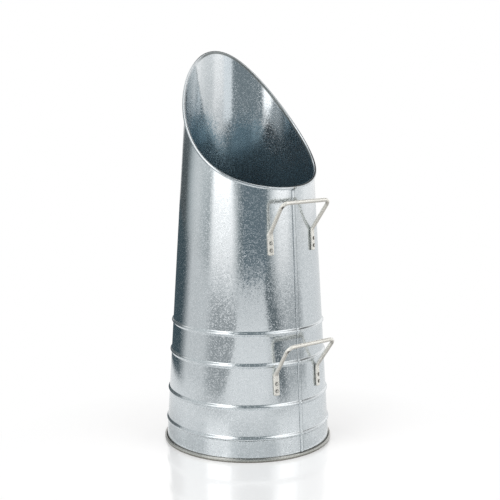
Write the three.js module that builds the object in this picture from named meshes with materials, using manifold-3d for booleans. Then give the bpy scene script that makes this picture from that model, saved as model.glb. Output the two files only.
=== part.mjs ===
// A tall galvanised coal scuttle, built as a tinsmith builds it. A tapered sheet is rolled up and
// its two edges hook into each other as a lock seam. Four beads are rolled into the lower half,
// the slanted mouth is curled over a stiffening wire, and the foot of the wall hooks into the edge
// of a recessed bottom. Two wire handles with flattened feet are riveted on, one above the other,
// astride the seam. Lengths are millimetres, +Z is up and the seam faces -Y.

import * as THREE from 'three';
import { mergeVertices } from 'three/addons/utils/BufferGeometryUtils.js';
import Module from 'manifold-3d';

const wasm = await Module();
wasm.setup();

// Whole object
const floorRadius = 120.3;        // outside of the wall, run down to the floor
const lipRadius = 84.8;           // outside of the wall at the tip of the lip
const mouthLow = 379;             // top of the rim where the mouth is lowest
const mouthSide = 445;            // top of the rim halfway round
const mouthHigh = 567;            // top of the rim at the tip of the lip
const mouthTurn = THREE.MathUtils.degToRad(-6.4);   // lowest point, seen from the seam

// Sheet and fits
const sheet = 0.7;                // thickness of the galvanised sheet
const clearance = 0.3;            // air between two neighbouring pieces

// Beads rolled into the wall, in two pairs
const beadHeight = 7.5;
const beadDepth = 2.1;
const lowestBead = 32.4;          // middle of the lowest bead above the floor
const beadPitch = 44;             // from bead to bead inside a pair
const pairPitch = 102;            // from the lower pair to the upper pair

// Lock seam up the front
const seamWidth = 4;              // from fold to fold
const seamAir = 0.2;              // air between the four layers
const seamInset = 0.6;            // inner fold, short of the cover's step
const coverStep = 0.8;            // run of the cover layer's step, out
const hookStep = 0.8;             // run of the hooked layer's step, in
const hookRoom = 0.6;             // from the cover's fold to the foot of that step
const seamShoulder = 0.6;         // plain sheet left beside the seam
const seamSlot = 0.6;             // slot that frees the seam from the rim and the foot
const edgeGap = 1.5;              // half the gap between the sheet's edges, past the seam

// Rim, curled outwards over a wire
const rimWire = 2.4;              // diameter of the stiffening wire
const curlTurn = THREE.MathUtils.degToRad(290);
const curlTab = 3;                // wall left between the seam's slot and the curl
const wireGap = 1;                // gap between the ends of the wire

// Foot, where the wall and the bottom hook into each other
const footHeight = 5.5;
const footBend = 0.8;             // bend of the bottom's edge under the wall
const panelHeight = 4.5;          // middle of the recessed panel above the floor
const panelBend = 1;

// Handles
const handleWire = 5.6;           // diameter of the wire
const footWidth = 8.5;            // flattened foot
const footThickness = 3.6;
const legSpan = 78;               // between the middles of the two legs
const legLength = 30;             // foot's end to the first bend
const handleRise = 43.5;          // first bend up to the bar
const handleReach = 30.5;         // first bend out to the bar
const barSpread = 4;              // bar's corner, to the side of the leg
const legBend = 8;
const barBend = 9;
const flattenRun = 6;             // past the first bend, until the wire is round again
const footEndRound = 1.2;
const upperFoot = 287;            // foot's end above the floor
const lowerFoot = 92.5;

// Rivets, two in each foot
const rivetShank = 3;
const rivetHead = 5;
const rivetHeadHeight = 1.3;
const rivetTail = 4.6;
const rivetTailHeight = 0.9;
const rivetInset = 6.5;           // lower rivet above the foot's end
const rivetPitch = 10;

// Facets
const wallSegments = 44;
const rivetSegments = 8;
const wireHalfSegments = 3;       // sides of half the rim wire's section
const handleSides = 12;
const arcSteps = 4;
const foldShares = [1 / 3, 2 / 3];            // points inside a half turn of sheet
const beadShares = [0, 0.25, 0.5, 0.75, 1];
const curlSteps = 5;
const flatShares = [1, 1, 1, 0.95, 0.8, 0.5, 0.25, 0];    // from the foot's end up to the arm
const endShares = [0.7, 1];
const squareShare = 0.55;         // the lower, the squarer a flattened foot
const domeShares = [0.9, 0.7, 0.35, 0];       // from a rivet head's edge to its middle

// Worked out
const taper = (floorRadius - lipRadius) / mouthHigh;
const half = sheet / 2;
const layer = sheet + clearance;              // pitch of layers of two pieces
const seamLayer = sheet + seamAir;            // pitch of layers inside the seam
const curlRadius = rimWire / 2 + clearance + half;
const rollRadius = curlRadius + half;
const beads = [0, beadPitch, pairPitch, pairPitch + beadPitch].map((rise) => lowestBead + rise);
const seamEdge = seamWidth / 2 + hookRoom + hookStep + seamShoulder;
const legMiddle = clearance + footThickness / 2;
const footRingRadius = floorRadius + layer * 3;
const handleFront = barFront(lowerFoot);
const axisY = (handleFront - footRingRadius) / 2;

// Radius of the wall's outside, without the beads, at height z
function outsideRadius(z) {
  return floorRadius - taper * z;
}

// How far the beads stand out at height z
function beadRise(z) {
  return beads.reduce((rise, middle) => {
    const across = Math.abs(z - middle) / beadHeight;
    const share = across < 0.5 ? (1 + Math.cos(2 * Math.PI * across)) / 2 : 0;
    return rise + beadDepth * share;
  }, 0);
}

// Radius of the middle of the sheet at height z
function wallRadius(z) {
  return outsideRadius(z) - half + beadRise(z);
}

// Height of the rim's top: a scooped curve, low over the seam and high opposite to it
function rimTop(angle) {
  const across = -Math.cos(angle - mouthTurn);
  const slope = (mouthHigh - mouthLow) / 2;
  const scoop = (mouthHigh + mouthLow) / 2 - mouthSide;
  return mouthSide + slope * across + scoop * across * across;
}

// Height where the wall ends and the curl begins
function edgeHeight(angle) {
  return rimTop(angle) - rollRadius;
}

// Point at a radius, an angle from the seam and a height
function around(radius, angle, z) {
  return new THREE.Vector3(radius * Math.sin(angle), -radius * Math.cos(angle), z);
}

// How far in front of the axis a handle's bar reaches
function barFront(footZ) {
  const bend = outsideRadius(footZ + legLength) + legMiddle;
  return Math.sqrt(bend * bend - legSpan * legSpan / 4) + handleReach + handleWire / 2;
}

// Moves a path of THREE.Vector2 sideways, to the right of its direction
function offsetPath(points, distance) {
  return points.map((point, i) => {
    const before = points[Math.max(i - 1, 0)];
    const after = points[Math.min(i + 1, points.length - 1)];
    const into = point.clone().sub(before).normalize();
    const out = after.clone().sub(point).normalize();
    const along = into.clone().add(out).normalize();
    const sharpness = i > 0 && i < points.length - 1 ? Math.abs(along.dot(into)) : 1;
    const side = new THREE.Vector2(along.y, -along.x);
    return point.clone().addScaledVector(side, distance / sharpness);
  });
}

// Half turn of a sheet's middle line, from one side of its centre to the other
function fold(centre, from, turn) {
  return foldShares.map((share) => from.clone().rotateAround(centre, turn * share));
}

// Geometry from a list of points and a list of triangles
function pack(points, triangles) {
  const geometry = new THREE.BufferGeometry();
  const values = points.flatMap((point) => point.toArray());
  geometry.setAttribute('position', new THREE.Float32BufferAttribute(values, 3));
  geometry.setIndex(triangles.flat());
  return geometry;
}

// Shares the vertices of a geometry that meet, and drops triangles without an area
function weld(source) {
  const bare = source.clone();
  bare.deleteAttribute('normal');
  bare.deleteAttribute('uv');
  const merged = mergeVertices(bare);
  const index = merged.getIndex().array;
  const kept = [];
  for (let i = 0; i < index.length; i += 3) {
    const [a, b, c] = index.slice(i, i + 3);
    if (a !== b && b !== c && c !== a) {
      kept.push(a, b, c);
    }
  }
  merged.setIndex(kept);
  return merged;
}

function toSolid(geometry) {
  const welded = weld(geometry);
  return new wasm.Manifold(new wasm.Mesh({
    numProp: 3,
    vertProperties: new Float32Array(welded.getAttribute('position').array),
    triVerts: new Uint32Array(welded.getIndex().array),
  }));
}

// Cuts every tool out of a geometry
function cut(geometry, tools) {
  const left = tools.reduce((solid, tool) => solid.subtract(toSolid(tool)), toSolid(geometry));
  const mesh = left.getMesh();
  const result = new THREE.BufferGeometry();
  result.setAttribute('position', new THREE.BufferAttribute(mesh.vertProperties, 3));
  result.setIndex(new THREE.BufferAttribute(mesh.triVerts, 1));
  return result;
}

// A sheet with two faces, as a grid of cells. front and back give the points of its two faces at
// a column and a row, and has says whether the cell that starts there is part of the sheet.
function sheetGeometry(columns, rows, front, back, has) {
  const points = [];
  const found = new Map();
  const corner = (face, column, row) => {
    const key = `${face === front} ${column} ${row}`;
    if (!found.has(key)) {
      found.set(key, points.length);
      points.push(face(column, row));
    }
    return found.get(key);
  };
  const triangles = [];
  const quad = (a, b, c, d) => triangles.push([a, b, c], [a, c, d]);
  const inside = (column, row) => (
    column >= 0 && row >= 0 && column < columns - 1 && row < rows - 1 && has(column, row));
  for (let i = 0; i < columns - 1; i += 1) {
    for (let k = 0; k < rows - 1; k += 1) {
      if (!inside(i, k)) {
        continue;
      }
      const f = (di, dk) => corner(front, i + di, k + dk);
      const b = (di, dk) => corner(back, i + di, k + dk);
      quad(f(0, 0), f(1, 0), f(1, 1), f(0, 1));
      quad(b(0, 0), b(0, 1), b(1, 1), b(1, 0));
      if (!inside(i - 1, k)) {
        quad(f(0, 0), f(0, 1), b(0, 1), b(0, 0));
      }
      if (!inside(i + 1, k)) {
        quad(f(1, 1), f(1, 0), b(1, 0), b(1, 1));
      }
      if (!inside(i, k - 1)) {
        quad(f(1, 0), f(0, 0), b(0, 0), b(1, 0));
      }
      if (!inside(i, k + 1)) {
        quad(f(0, 1), f(1, 1), b(1, 1), b(0, 1));
      }
    }
  }
  return pack(points, triangles);
}

// Middle line of the sheet's cover edge across the seam, from its hidden end out to the wall.
// x runs along the wall from the seam's middle, and y stands out from the wall.
function coverEdge() {
  const centre = new THREE.Vector2(-seamWidth / 2 + seamLayer, 0);
  const hidden = centre.clone().sub(new THREE.Vector2(0, seamLayer));
  const innerFold = seamWidth / 2 - seamInset - seamLayer;
  return [
    new THREE.Vector2(innerFold, -seamLayer),
    hidden,
    ...fold(centre, hidden, -Math.PI),
    new THREE.Vector2(centre.x, seamLayer),
    new THREE.Vector2(seamWidth / 2, seamLayer),
    new THREE.Vector2(seamWidth / 2 + coverStep, 0),
    new THREE.Vector2(seamEdge, 0),
  ];
}

// The same for the hooked edge, from the wall in to its hidden end
function hookedEdge() {
  const centre = new THREE.Vector2(seamWidth / 2 - seamInset - seamLayer, -seamLayer);
  const under = centre.clone().sub(new THREE.Vector2(0, seamLayer));
  const stepFoot = -seamWidth / 2 - hookRoom;
  return [
    new THREE.Vector2(-seamEdge, 0),
    new THREE.Vector2(stepFoot - hookStep, 0),
    new THREE.Vector2(stepFoot, under.y),
    under,
    ...fold(centre, under, Math.PI),
    new THREE.Vector2(centre.x, 0),
    new THREE.Vector2(-seamWidth / 2 + seamLayer, 0),
  ];
}

// Columns of the wall: the cover edge, the plain wall round the back, and the hooked edge. Past
// the seam's two ends the edges lie side by side, and plainX is where a column lies there.
function wallColumns() {
  const seamColumns = (path, plainXs) => {
    const front = offsetPath(path, -half);
    const back = offsetPath(path, half);
    return path.map((point, i) => ({ front: front[i], back: back[i], plainX: plainXs[i] }));
  };
  const cover = coverEdge();
  const hooked = hookedEdge();
  const share = (i, count) => edgeGap + (seamEdge - edgeGap) * i / (count - 1);
  const coverXs = cover.map((point, i) => share(i, cover.length));
  const hookedXs = hooked.map((point, i) => -share(hooked.length - 1 - i, hooked.length));
  const plain = [];
  for (let i = 1; i < wallSegments; i += 1) {
    plain.push({ angle: 2 * Math.PI * i / wallSegments });
  }
  return [...seamColumns(cover, coverXs), ...plain, ...seamColumns(hooked, hookedXs)];
}

// Middle line of the hook under the wall, from its free end, as distance from the wall and height
function footHook() {
  const foldZ = layer + half + layer;
  const outer = new THREE.Vector2(2 * layer, foldZ);
  const centre = new THREE.Vector2(layer, foldZ);
  const hookTop = footHeight - half - layer;
  return [new THREE.Vector2(outer.x, hookTop), outer, ...fold(centre, outer, -Math.PI)];
}

// Heights of the rows of the plain wall, in the order of wallRows
function wallHeights(angle) {
  const edge = edgeHeight(angle);
  const seamTop = edge - curlTab - seamSlot;
  return [
    layer + half + layer,
    footHeight,
    footHeight + seamSlot,
    ...beads.flatMap((middle) => beadShares.map((share) => middle + (share - 0.5) * beadHeight)),
    seamTop,
    edge - curlTab,
    edge,
  ];
}

// Frame on the rim: the wall's edge, the way along it, out of the wall and up from the edge
function rimFrame(angle) {
  const step = 0.001;
  const at = (value) => around(wallRadius(edgeHeight(value)), value, edgeHeight(value));
  const along = at(angle + step).sub(at(angle - step)).normalize();
  const out = around(1, angle, taper).normalize();
  const up = out.clone().cross(along).normalize();
  out.crossVectors(along, up);
  return { edge: at(angle), along, out, up };
}

// Middle of the wire in the rim
function rimWireCentre(angle) {
  const { edge, out } = rimFrame(angle);
  return edge.addScaledVector(out, curlRadius);
}

// Point of the curl, at a share of its turn and a distance from the wire's middle
function curlPoint(angle, share, radius) {
  const { edge, out, up } = rimFrame(angle);
  const turn = curlTurn * share;
  return edge
    .addScaledVector(out, curlRadius - radius * Math.cos(turn))
    .addScaledVector(up, radius * Math.sin(turn));
}

// The rolled wall, with its seam, beads, curl and hooked foot, and holes for the rivets
function bodyShell() {
  const columns = wallColumns();
  const hook = footHook();
  const wallStart = hook.length;
  const wallCount = wallHeights(0).length;
  const curlStart = wallStart + wallCount;
  const rows = curlStart + curlSteps;
  const seamFirst = wallStart + 2;
  const seamLast = curlStart - 3;
  const profiles = new Map();

  const profile = (angle, side) => {
    const key = `${angle} ${side}`;
    if (!profiles.has(key)) {
      const path = [
        ...hook.map(({ x, y }) => new THREE.Vector2(wallRadius(y) + x, y)),
        ...wallHeights(angle).map((z) => new THREE.Vector2(wallRadius(z), z)),
      ];
      profiles.set(key, offsetPath(path, side * half));
    }
    return profiles.get(key);
  };
  const inSeam = (column, row) => column.front && row >= seamFirst && row <= seamLast;
  const point = (side) => (i, row) => {
    const column = columns[i];
    if (inSeam(column, row)) {
      const z = wallHeights(0)[row - wallStart];
      const { x, y } = side > 0 ? column.front : column.back;
      return around(wallRadius(z) + y, x / wallRadius(z), z);
    }
    const angle = column.angle ?? column.plainX / wallRadius(edgeHeight(0));
    if (row >= curlStart) {
      return curlPoint(angle, (row - curlStart + 1) / curlSteps, curlRadius - side * half);
    }
    const { x, y } = profile(angle, side)[row];
    return around(x, column.angle ?? column.plainX / x, y);
  };
  const has = (i, row) => {
    const seamCell = columns[i].front && columns[i + 1].front;
    return !(seamCell && (row === seamFirst - 1 || row === seamLast));
  };
  const wall = sheetGeometry(columns.length, rows, point(1), point(-1), has);
  return cut(wall, [upperFoot, lowerFoot].flatMap((footZ) => rivetHoles(footZ)));
}

// Line through the middle of the wire, which turns where the columns of the wall do
class RimPath extends THREE.Curve {
  constructor() {
    super();
    const seamRadius = wallRadius(edgeHeight(0));
    const gap = wireGap / 2 / seamRadius;
    const turns = wallColumns().map((column) => {
      const angle = column.angle ?? column.plainX / seamRadius;
      return angle < 0 ? angle + 2 * Math.PI : angle;
    });
    this.stops = [gap, ...turns, 2 * Math.PI - gap].map(rimWireCentre);
  }

  getPoint(t, target = new THREE.Vector3()) {
    const place = t * (this.stops.length - 1);
    const first = Math.min(Math.floor(place), this.stops.length - 2);
    return target.lerpVectors(this.stops[first], this.stops[first + 1], place - first);
  }

  // Steps fall on the stops, whatever the distances between them
  getUtoTmapping(u) {
    return u;
  }
}

// The wire in the rim, with its ends meeting at the seam
function rimWireRing() {
  const section = new THREE.Shape();
  section.absarc(0, 0, rimWire / 2, 0, 2 * Math.PI);
  const path = new RimPath();
  return new THREE.ExtrudeGeometry(section, {
    steps: path.stops.length - 1,
    curveSegments: wireHalfSegments,
    extrudePath: path,
  });
}

// Middle line of the bottom, from its centre out and round the foot of the wall
function bottomPath() {
  const chuck = (z) => wallRadius(z) - layer;
  const seamingWall = wallRadius(half) + 3 * layer;
  const hookTop = footHeight - half - layer;
  const outer = new THREE.Vector2(seamingWall, hookTop);
  const centre = new THREE.Vector2(seamingWall - layer, hookTop);
  const slopeShare = Math.SQRT1_2;
  const panelCorner = new THREE.Vector2(chuck(panelHeight) - panelBend, panelHeight - panelBend);
  const underCorner = new THREE.Vector2(chuck(half) + footBend, half + footBend);
  const outerCorner = new THREE.Vector2(seamingWall - footBend, half + footBend);
  return [
    new THREE.Vector2(0, panelHeight),
    new THREE.Vector2(panelCorner.x, panelHeight),
    new THREE.Vector2(chuck(panelCorner.y), panelCorner.y),
    new THREE.Vector2(chuck(underCorner.y), underCorner.y),
    new THREE.Vector2(underCorner.x, half),
    new THREE.Vector2(outerCorner.x, half),
    outerCorner.clone().add(new THREE.Vector2(footBend, -footBend).multiplyScalar(slopeShare)),
    new THREE.Vector2(seamingWall, outerCorner.y),
    outer,
    ...fold(centre, outer, Math.PI),
    new THREE.Vector2(centre.x - layer, hookTop),
    new THREE.Vector2(centre.x - layer, layer + half + layer),
  ];
}

// The recessed bottom
function bottomDisc() {
  const middle = bottomPath();
  const under = offsetPath(middle, half);
  const over = offsetPath(middle, -half);
  const outline = [...under, ...over.reverse()];
  const turned = new THREE.LatheGeometry(outline, wallSegments);
  return turned.rotateX(Math.PI / 2);
}

// Where a handle's leg stands on the wall, on one side and at one height
function legPlace(side, z, distance) {
  const radius = outsideRadius(z) + distance;
  const angle = Math.asin(side * legSpan / 2 / (outsideRadius(z) + legMiddle));
  return around(radius, angle, z);
}

// Straight out of the wall where a leg stands
function legNormal(side, z) {
  const angle = Math.asin(side * legSpan / 2 / (outsideRadius(z) + legMiddle));
  return around(1, angle, taper).normalize();
}

// Points and directions along a line of corners, each rounded by its own radius
function roundedPath(corners, radii) {
  const stops = [];
  corners.forEach((corner, i) => {
    if (i === 0 || i === corners.length - 1) {
      const other = corners[i === 0 ? 1 : i - 1];
      const along = other.clone().sub(corner).multiplyScalar(i === 0 ? 1 : -1).normalize();
      stops.push({ point: corner.clone(), along });
      return;
    }
    const into = corner.clone().sub(corners[i - 1]).normalize();
    const out = corners[i + 1].clone().sub(corner).normalize();
    const turn = into.angleTo(out);
    const axis = into.clone().cross(out).normalize();
    const start = corner.clone().addScaledVector(into, -radii[i] * Math.tan(turn / 2));
    const centre = start.clone().addScaledVector(axis.clone().cross(into), radii[i]);
    for (let k = 0; k <= arcSteps; k += 1) {
      const angle = turn * k / arcSteps;
      const point = start.clone().sub(centre).applyAxisAngle(axis, angle).add(centre);
      stops.push({ point, along: into.clone().applyAxisAngle(axis, angle) });
    }
  });
  return stops;
}

// Stop on a straight stretch, at a distance from its start
function stopOn(from, to, distance) {
  const along = to.clone().sub(from).normalize();
  return { point: from.clone().addScaledVector(along, distance), along };
}

// Rounded outline of the wire, flattened by a share from 0 to 1 and scaled at the foot's end
function wireSection(flatShare, scale) {
  const width = THREE.MathUtils.lerp(handleWire, footWidth, flatShare);
  const height = THREE.MathUtils.lerp(handleWire, footThickness, flatShare);
  const power = THREE.MathUtils.lerp(1, squareShare, flatShare);
  const bulge = (value) => Math.sign(value) * Math.abs(value) ** power;
  const section = [];
  for (let i = 0; i < handleSides; i += 1) {
    const angle = 2 * Math.PI * (i + 0.5) / handleSides;
    section.push(new THREE.Vector2(
      width / 2 * scale * bulge(Math.cos(angle)),
      height / 2 * scale * bulge(Math.sin(angle)),
    ));
  }
  return section;
}

// Stops of the left half of a handle, from its foot to the bar
function halfHandle(footZ) {
  const foot = legPlace(-1, footZ, legMiddle);
  const bend = legPlace(-1, footZ + legLength, legMiddle);
  const bar = bend.clone().add(new THREE.Vector3(-barSpread, -handleReach, handleRise));
  const middle = new THREE.Vector3(0, bar.y, bar.z);
  const rounded = roundedPath([foot, bend, bar, middle], [0, legBend, barBend, 0]);
  const bendEnd = rounded[1 + arcSteps];
  return [
    rounded[0],
    stopOn(foot, bend, footEndRound),
    ...rounded.slice(1, 2 + arcSteps),
    stopOn(bendEnd.point, bar, flattenRun),
    ...rounded.slice(2 + arcSteps, -1),
  ];
}

// One handle, swept from foot to foot. The flat faces of its feet lie along the wall.
function handle(footZ) {
  const left = halfHandle(footZ);
  const right = left.map(({ point, along }) => ({
    point: new THREE.Vector3(-point.x, point.y, point.z),
    along: new THREE.Vector3(along.x, -along.y, -along.z),
  })).reverse();
  const stops = [...left, ...right];
  const facing = new THREE.Vector3(0, -handleRise, -handleReach).normalize();
  const last = stops.length - 1;
  const rings = stops.map(({ point, along }, i) => {
    const fromEnd = Math.min(i, last - i);
    const side = i < last / 2 ? -1 : 1;
    const out = fromEnd < flatShares.length ? legNormal(side, footZ) : facing.clone();
    out.addScaledVector(along, -out.dot(along)).normalize();
    const across = out.clone().cross(along);
    const section = wireSection(flatShares[fromEnd] ?? 0, endShares[fromEnd] ?? 1);
    return section.map(({ x, y }) => point.clone()
      .addScaledVector(across, x)
      .addScaledVector(out, y));
  });
  return cut(loft(rings), rivetHoles(footZ));
}

// Skin over a row of rings with equal counts, closed at both ends
function loft(rings) {
  const count = rings[0].length;
  const triangles = [];
  for (let i = 0; i < rings.length - 1; i += 1) {
    for (let k = 0; k < count; k += 1) {
      const a = i * count + k;
      const b = i * count + (k + 1) % count;
      triangles.push([a, b, b + count], [a, b + count, a + count]);
    }
  }
  const end = (rings.length - 1) * count;
  for (let k = 1; k < count - 1; k += 1) {
    triangles.push([0, k + 1, k], [end, end + k, end + k + 1]);
  }
  return pack(rings.flat(), triangles);
}

// Places of the four rivets of a handle: the point on the wall's outside and the way out of it
function rivetPlaces(footZ) {
  return [-1, 1].flatMap((side) => [rivetInset, rivetInset + rivetPitch].map((rise) => ({
    point: legPlace(side, footZ + rise, 0),
    out: legNormal(side, footZ + rise),
  })));
}

// Drills for the rivets, through the foot and the wall
function rivetHoles(footZ) {
  const reach = 2 * (footThickness + sheet + 2 * clearance);
  return rivetPlaces(footZ).map(({ point, out }) => {
    const drill = new THREE.CylinderGeometry(
      rivetShank / 2 + clearance, rivetShank / 2 + clearance, reach, rivetSegments);
    const turn = new THREE.Quaternion().setFromUnitVectors(new THREE.Vector3(0, 1, 0), out);
    return drill.applyQuaternion(turn).translate(point.x, point.y, point.z);
  });
}

// A rivet along Y, with its round head outside the foot and its flat tail inside the wall
function rivet() {
  const under = 2 * clearance + footThickness;
  const inside = -sheet - clearance;
  const shank = rivetShank / 2;
  const head = rivetHead / 2;
  const tail = rivetTail / 2;
  const dome = domeShares.map((share) => new THREE.Vector2(
    head * share, under + rivetHeadHeight * Math.sqrt(1 - share * share)));
  const outline = [
    new THREE.Vector2(0, inside - rivetTailHeight),
    new THREE.Vector2(tail, inside - rivetTailHeight / 2),
    new THREE.Vector2(tail, inside),
    new THREE.Vector2(shank, inside),
    new THREE.Vector2(shank, under),
    new THREE.Vector2(head, under),
    ...dome,
  ];
  return new THREE.LatheGeometry(outline, rivetSegments);
}

function galvanisedSheet() {
  return new THREE.MeshStandardMaterial({ color: 0xaab3b8, roughness: 0.3, metalness: 0.95 });
}

function zincWire() {
  return new THREE.MeshStandardMaterial({ color: 0xcdc9bb, roughness: 0.38, metalness: 0.85 });
}

function steelRivet() {
  return new THREE.MeshStandardMaterial({ color: 0x9a9a94, roughness: 0.4, metalness: 0.9 });
}

function named(name, geometry, material) {
  const mesh = new THREE.Mesh(weld(geometry), material);
  mesh.name = name;
  return mesh;
}

// The four rivets of one handle
function rivets(prefix, footZ) {
  const labels = ['left_foot_lower', 'left_foot_upper', 'right_foot_lower', 'right_foot_upper'];
  return rivetPlaces(footZ).map(({ point, out }, i) => {
    const mesh = named(`${prefix}_rivet_${labels[i]}`, rivet(), steelRivet());
    mesh.position.copy(point);
    mesh.quaternion.setFromUnitVectors(new THREE.Vector3(0, 1, 0), out);
    return mesh;
  });
}

// The origin lies on the floor in the middle of the outline, handles included
const scuttle = new THREE.Group();
scuttle.position.y = axisY;
scuttle.add(
  named('body_shell', bodyShell(), galvanisedSheet()),
  named('rim_wire', rimWireRing(), zincWire()),
  named('bottom_disc', bottomDisc(), galvanisedSheet()),
  named('upper_handle', handle(upperFoot), zincWire()),
  named('lower_handle', handle(lowerFoot), zincWire()),
  ...rivets('upper_handle', upperFoot),
  ...rivets('lower_handle', lowerFoot),
);

const root = new THREE.Group();
root.add(scuttle);

export default root;
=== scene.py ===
"""Looks of a galvanised coal scuttle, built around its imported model. Pieces are measured in
millimetres, with the wall's axis at x = y = 0, and turn into metres in make_piece."""
import math

import bpy
import numpy as np
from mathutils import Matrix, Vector

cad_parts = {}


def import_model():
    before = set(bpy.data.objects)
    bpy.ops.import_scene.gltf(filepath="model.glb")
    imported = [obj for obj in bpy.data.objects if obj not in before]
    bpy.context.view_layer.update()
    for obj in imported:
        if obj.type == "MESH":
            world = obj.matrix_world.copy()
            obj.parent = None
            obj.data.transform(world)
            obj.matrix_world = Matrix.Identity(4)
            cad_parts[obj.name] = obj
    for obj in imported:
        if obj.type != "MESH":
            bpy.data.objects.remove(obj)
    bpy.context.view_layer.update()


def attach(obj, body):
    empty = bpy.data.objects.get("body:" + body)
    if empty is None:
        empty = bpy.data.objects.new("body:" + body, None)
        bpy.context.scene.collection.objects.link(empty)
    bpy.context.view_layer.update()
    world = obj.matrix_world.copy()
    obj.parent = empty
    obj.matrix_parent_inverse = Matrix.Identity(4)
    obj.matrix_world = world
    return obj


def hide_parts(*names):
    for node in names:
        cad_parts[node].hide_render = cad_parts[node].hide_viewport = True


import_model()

# Whole object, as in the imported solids
FLOOR_RADIUS = 120.3
LIP_RADIUS = 84.8
MOUTH_LOW = 379.0
MOUTH_SIDE = 445.0
MOUTH_HIGH = 567.0
MOUTH_TURN = math.radians(-6.4)
SHEET = 0.7
CLEARANCE = 0.3
BEAD_HEIGHT = 7.5
BEAD_DEPTH = 2.1
BEADS = (32.4, 76.4, 134.4, 178.4)
SEAM_WIDTH = 4.0
SEAM_AIR = 0.2
SEAM_INSET = 0.6
COVER_STEP = 0.8
HOOK_STEP = 0.8
HOOK_ROOM = 0.4               # 0.6 in the solids
SEAM_SHOULDER = 0.6
SEAM_SLOT = 0.6
EDGE_GAP = 1.5
RIM_WIRE = 2.4
CURL_TURN = math.radians(290)
CURL_TAB = 3.0
WIRE_GAP = 1.0
FOOT_HEIGHT = 5.5
FOOT_BEND = 0.8
PANEL_HEIGHT = 4.5
PANEL_BEND = 1.0
HANDLE_WIRE = 5.6
FOOT_WIDTH = 8.5
FOOT_THICKNESS = 3.6
LEG_SPAN = 78.0
LEG_LENGTH = 30.0
HANDLE_RISE = 43.5
HANDLE_REACH = 30.5
BAR_SPREAD = 4.0
LEG_BEND = 8.0
BAR_BEND = 9.0
FLATTEN_RUN = 6.0
FOOT_END_ROUND = 1.2
UPPER_FOOT = 287.0
LOWER_FOOT = 92.5
RIVET_SHANK = 3.0
RIVET_HEAD = 5.0
RIVET_HEAD_HEIGHT = 1.3
RIVET_TAIL = 4.6
RIVET_TAIL_HEIGHT = 0.9
RIVET_INSET = 6.5
RIVET_PITCH = 10.0

# Shares of those sizes
FOOT_END_SHARE = 0.7          # width of a foot's very end
FOOT_SQUARE_SHARE = 0.45      # 0 is an ellipse, 1 a box
BEND_FLAT_SHARE = 0.25        # how flat the wire still is above the leg's bend
TAIL_FLAT_SHARE = 0.7         # flat end of a rivet's tail

# Facets of the looks
WALL_STEPS = 216
FOLD_STEPS = 8
BEAD_STEPS = 18
CURL_STEPS = 28
WIRE_SIDES = 16
HANDLE_SIDES = 36
BEND_STEPS = 16
END_STEPS = 4
RIVET_SIDES = 40
RIVET_DOME_STEPS = 10
SMOOTH_ANGLE = math.radians(38)
RIVET_SMOOTH_ANGLE = math.radians(50)
MERGE_DIGITS = 5

# Worked out
TAPER = (FLOOR_RADIUS - LIP_RADIUS) / MOUTH_HIGH
HALF = SHEET / 2
LAYER = SHEET + CLEARANCE
SEAM_LAYER = SHEET + SEAM_AIR
CURL_RADIUS = RIM_WIRE / 2 + CLEARANCE + HALF
ROLL_RADIUS = CURL_RADIUS + HALF
SEAM_EDGE = SEAM_WIDTH / 2 + HOOK_ROOM + HOOK_STEP + SEAM_SHOULDER
LEG_MIDDLE = CLEARANCE + FOOT_THICKNESS / 2
MOUTH_SLOPE = (MOUTH_HIGH - MOUTH_LOW) / 2
MOUTH_SCOOP = (MOUTH_HIGH + MOUTH_LOW) / 2 - MOUTH_SIDE
HANDLES = {"upper_handle": UPPER_FOOT, "lower_handle": LOWER_FOOT}

# Camera, from the photograph's perspective
CAMERA_TURN = math.radians(-39.7)      # round the axis, from straight in front of the seam
CAMERA_DISTANCE = 1.47245
CAMERA_HEIGHT = 0.5070
CAMERA_YAW = 0.0023
CAMERA_PITCH = 0.1536
LENS = 73.53
SENSOR = 36.0

# Spangle of the sheet: grains in a metre, how far they lean, and noises as (scale, detail)
UPPER_HALF = (0.5, 1.0)
NOISE_RANGE = (0.3, 0.7)
GRAIN = 800.0
COARSE_GRAIN = 330.0
GRAIN_LEAN = (0.010, 0.042)
COARSE_LEAN = 0.005
SWAY = 0.012
SWAY_NOISE = (16.0, 1.0)
SPECKLE_NOISE = (900.0, 3.0)
CLOUD_NOISE = (35.0, 4.0)
GRAIN_TONE = 0.6
SPECKLE_TONE = 0.5
TONE_RANGE = (0.25, 0.85)
GRAIN_ROUGH = (0.08, 0.29)
CLOUD_ROUGH = (-0.02, 0.03)
SHEET_METALLIC = 0.985
SPANGLE_DARK = (0.605, 0.652, 0.674)
SPANGLE_PALE = (0.692, 0.732, 0.755)
SPANGLE_BRIGHT = (0.80, 0.84, 0.865)

# Painted shade on the sheet, in millimetres: a pair says where it starts and where it is full
# A painted shade line in the corner at the foot of the seam's cover step, this far across from the
# seam's middle
SEAM_SHADE_PLACE = 3.1
SEAM_SHADE_EDGE = (0.8, 0.3)
SEAM_PAINTED_SHADE = (0.33, 0.36, 0.37)
# Painted shade: the foot's ring is darker, and rougher, below the foot's height
RING_EDGE = (FOOT_HEIGHT + 0.3, FOOT_HEIGHT)
RING_PAINTED_SHADE = (0.46, 0.47, 0.445)
RING_ROUGH = 0.12
# A painted shade line in the crease where the wall meets the foot's ring
CREVICE_HEIGHT = FOOT_HEIGHT - 0.4
CREVICE_EDGE = (0.7, 0.3)
CREVICE_PAINTED_SHADE = (0.45, 0.45, 0.43)
# Painted shade along the bottom edge, next to the floor: darker and less metallic
BOTTOM_SHADE_EDGE = (3.4, 1.7)
BOTTOM_PAINTED_SHADE = (0.22, 0.215, 0.19)
BOTTOM_SHADE_DULLS = 0.4
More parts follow.
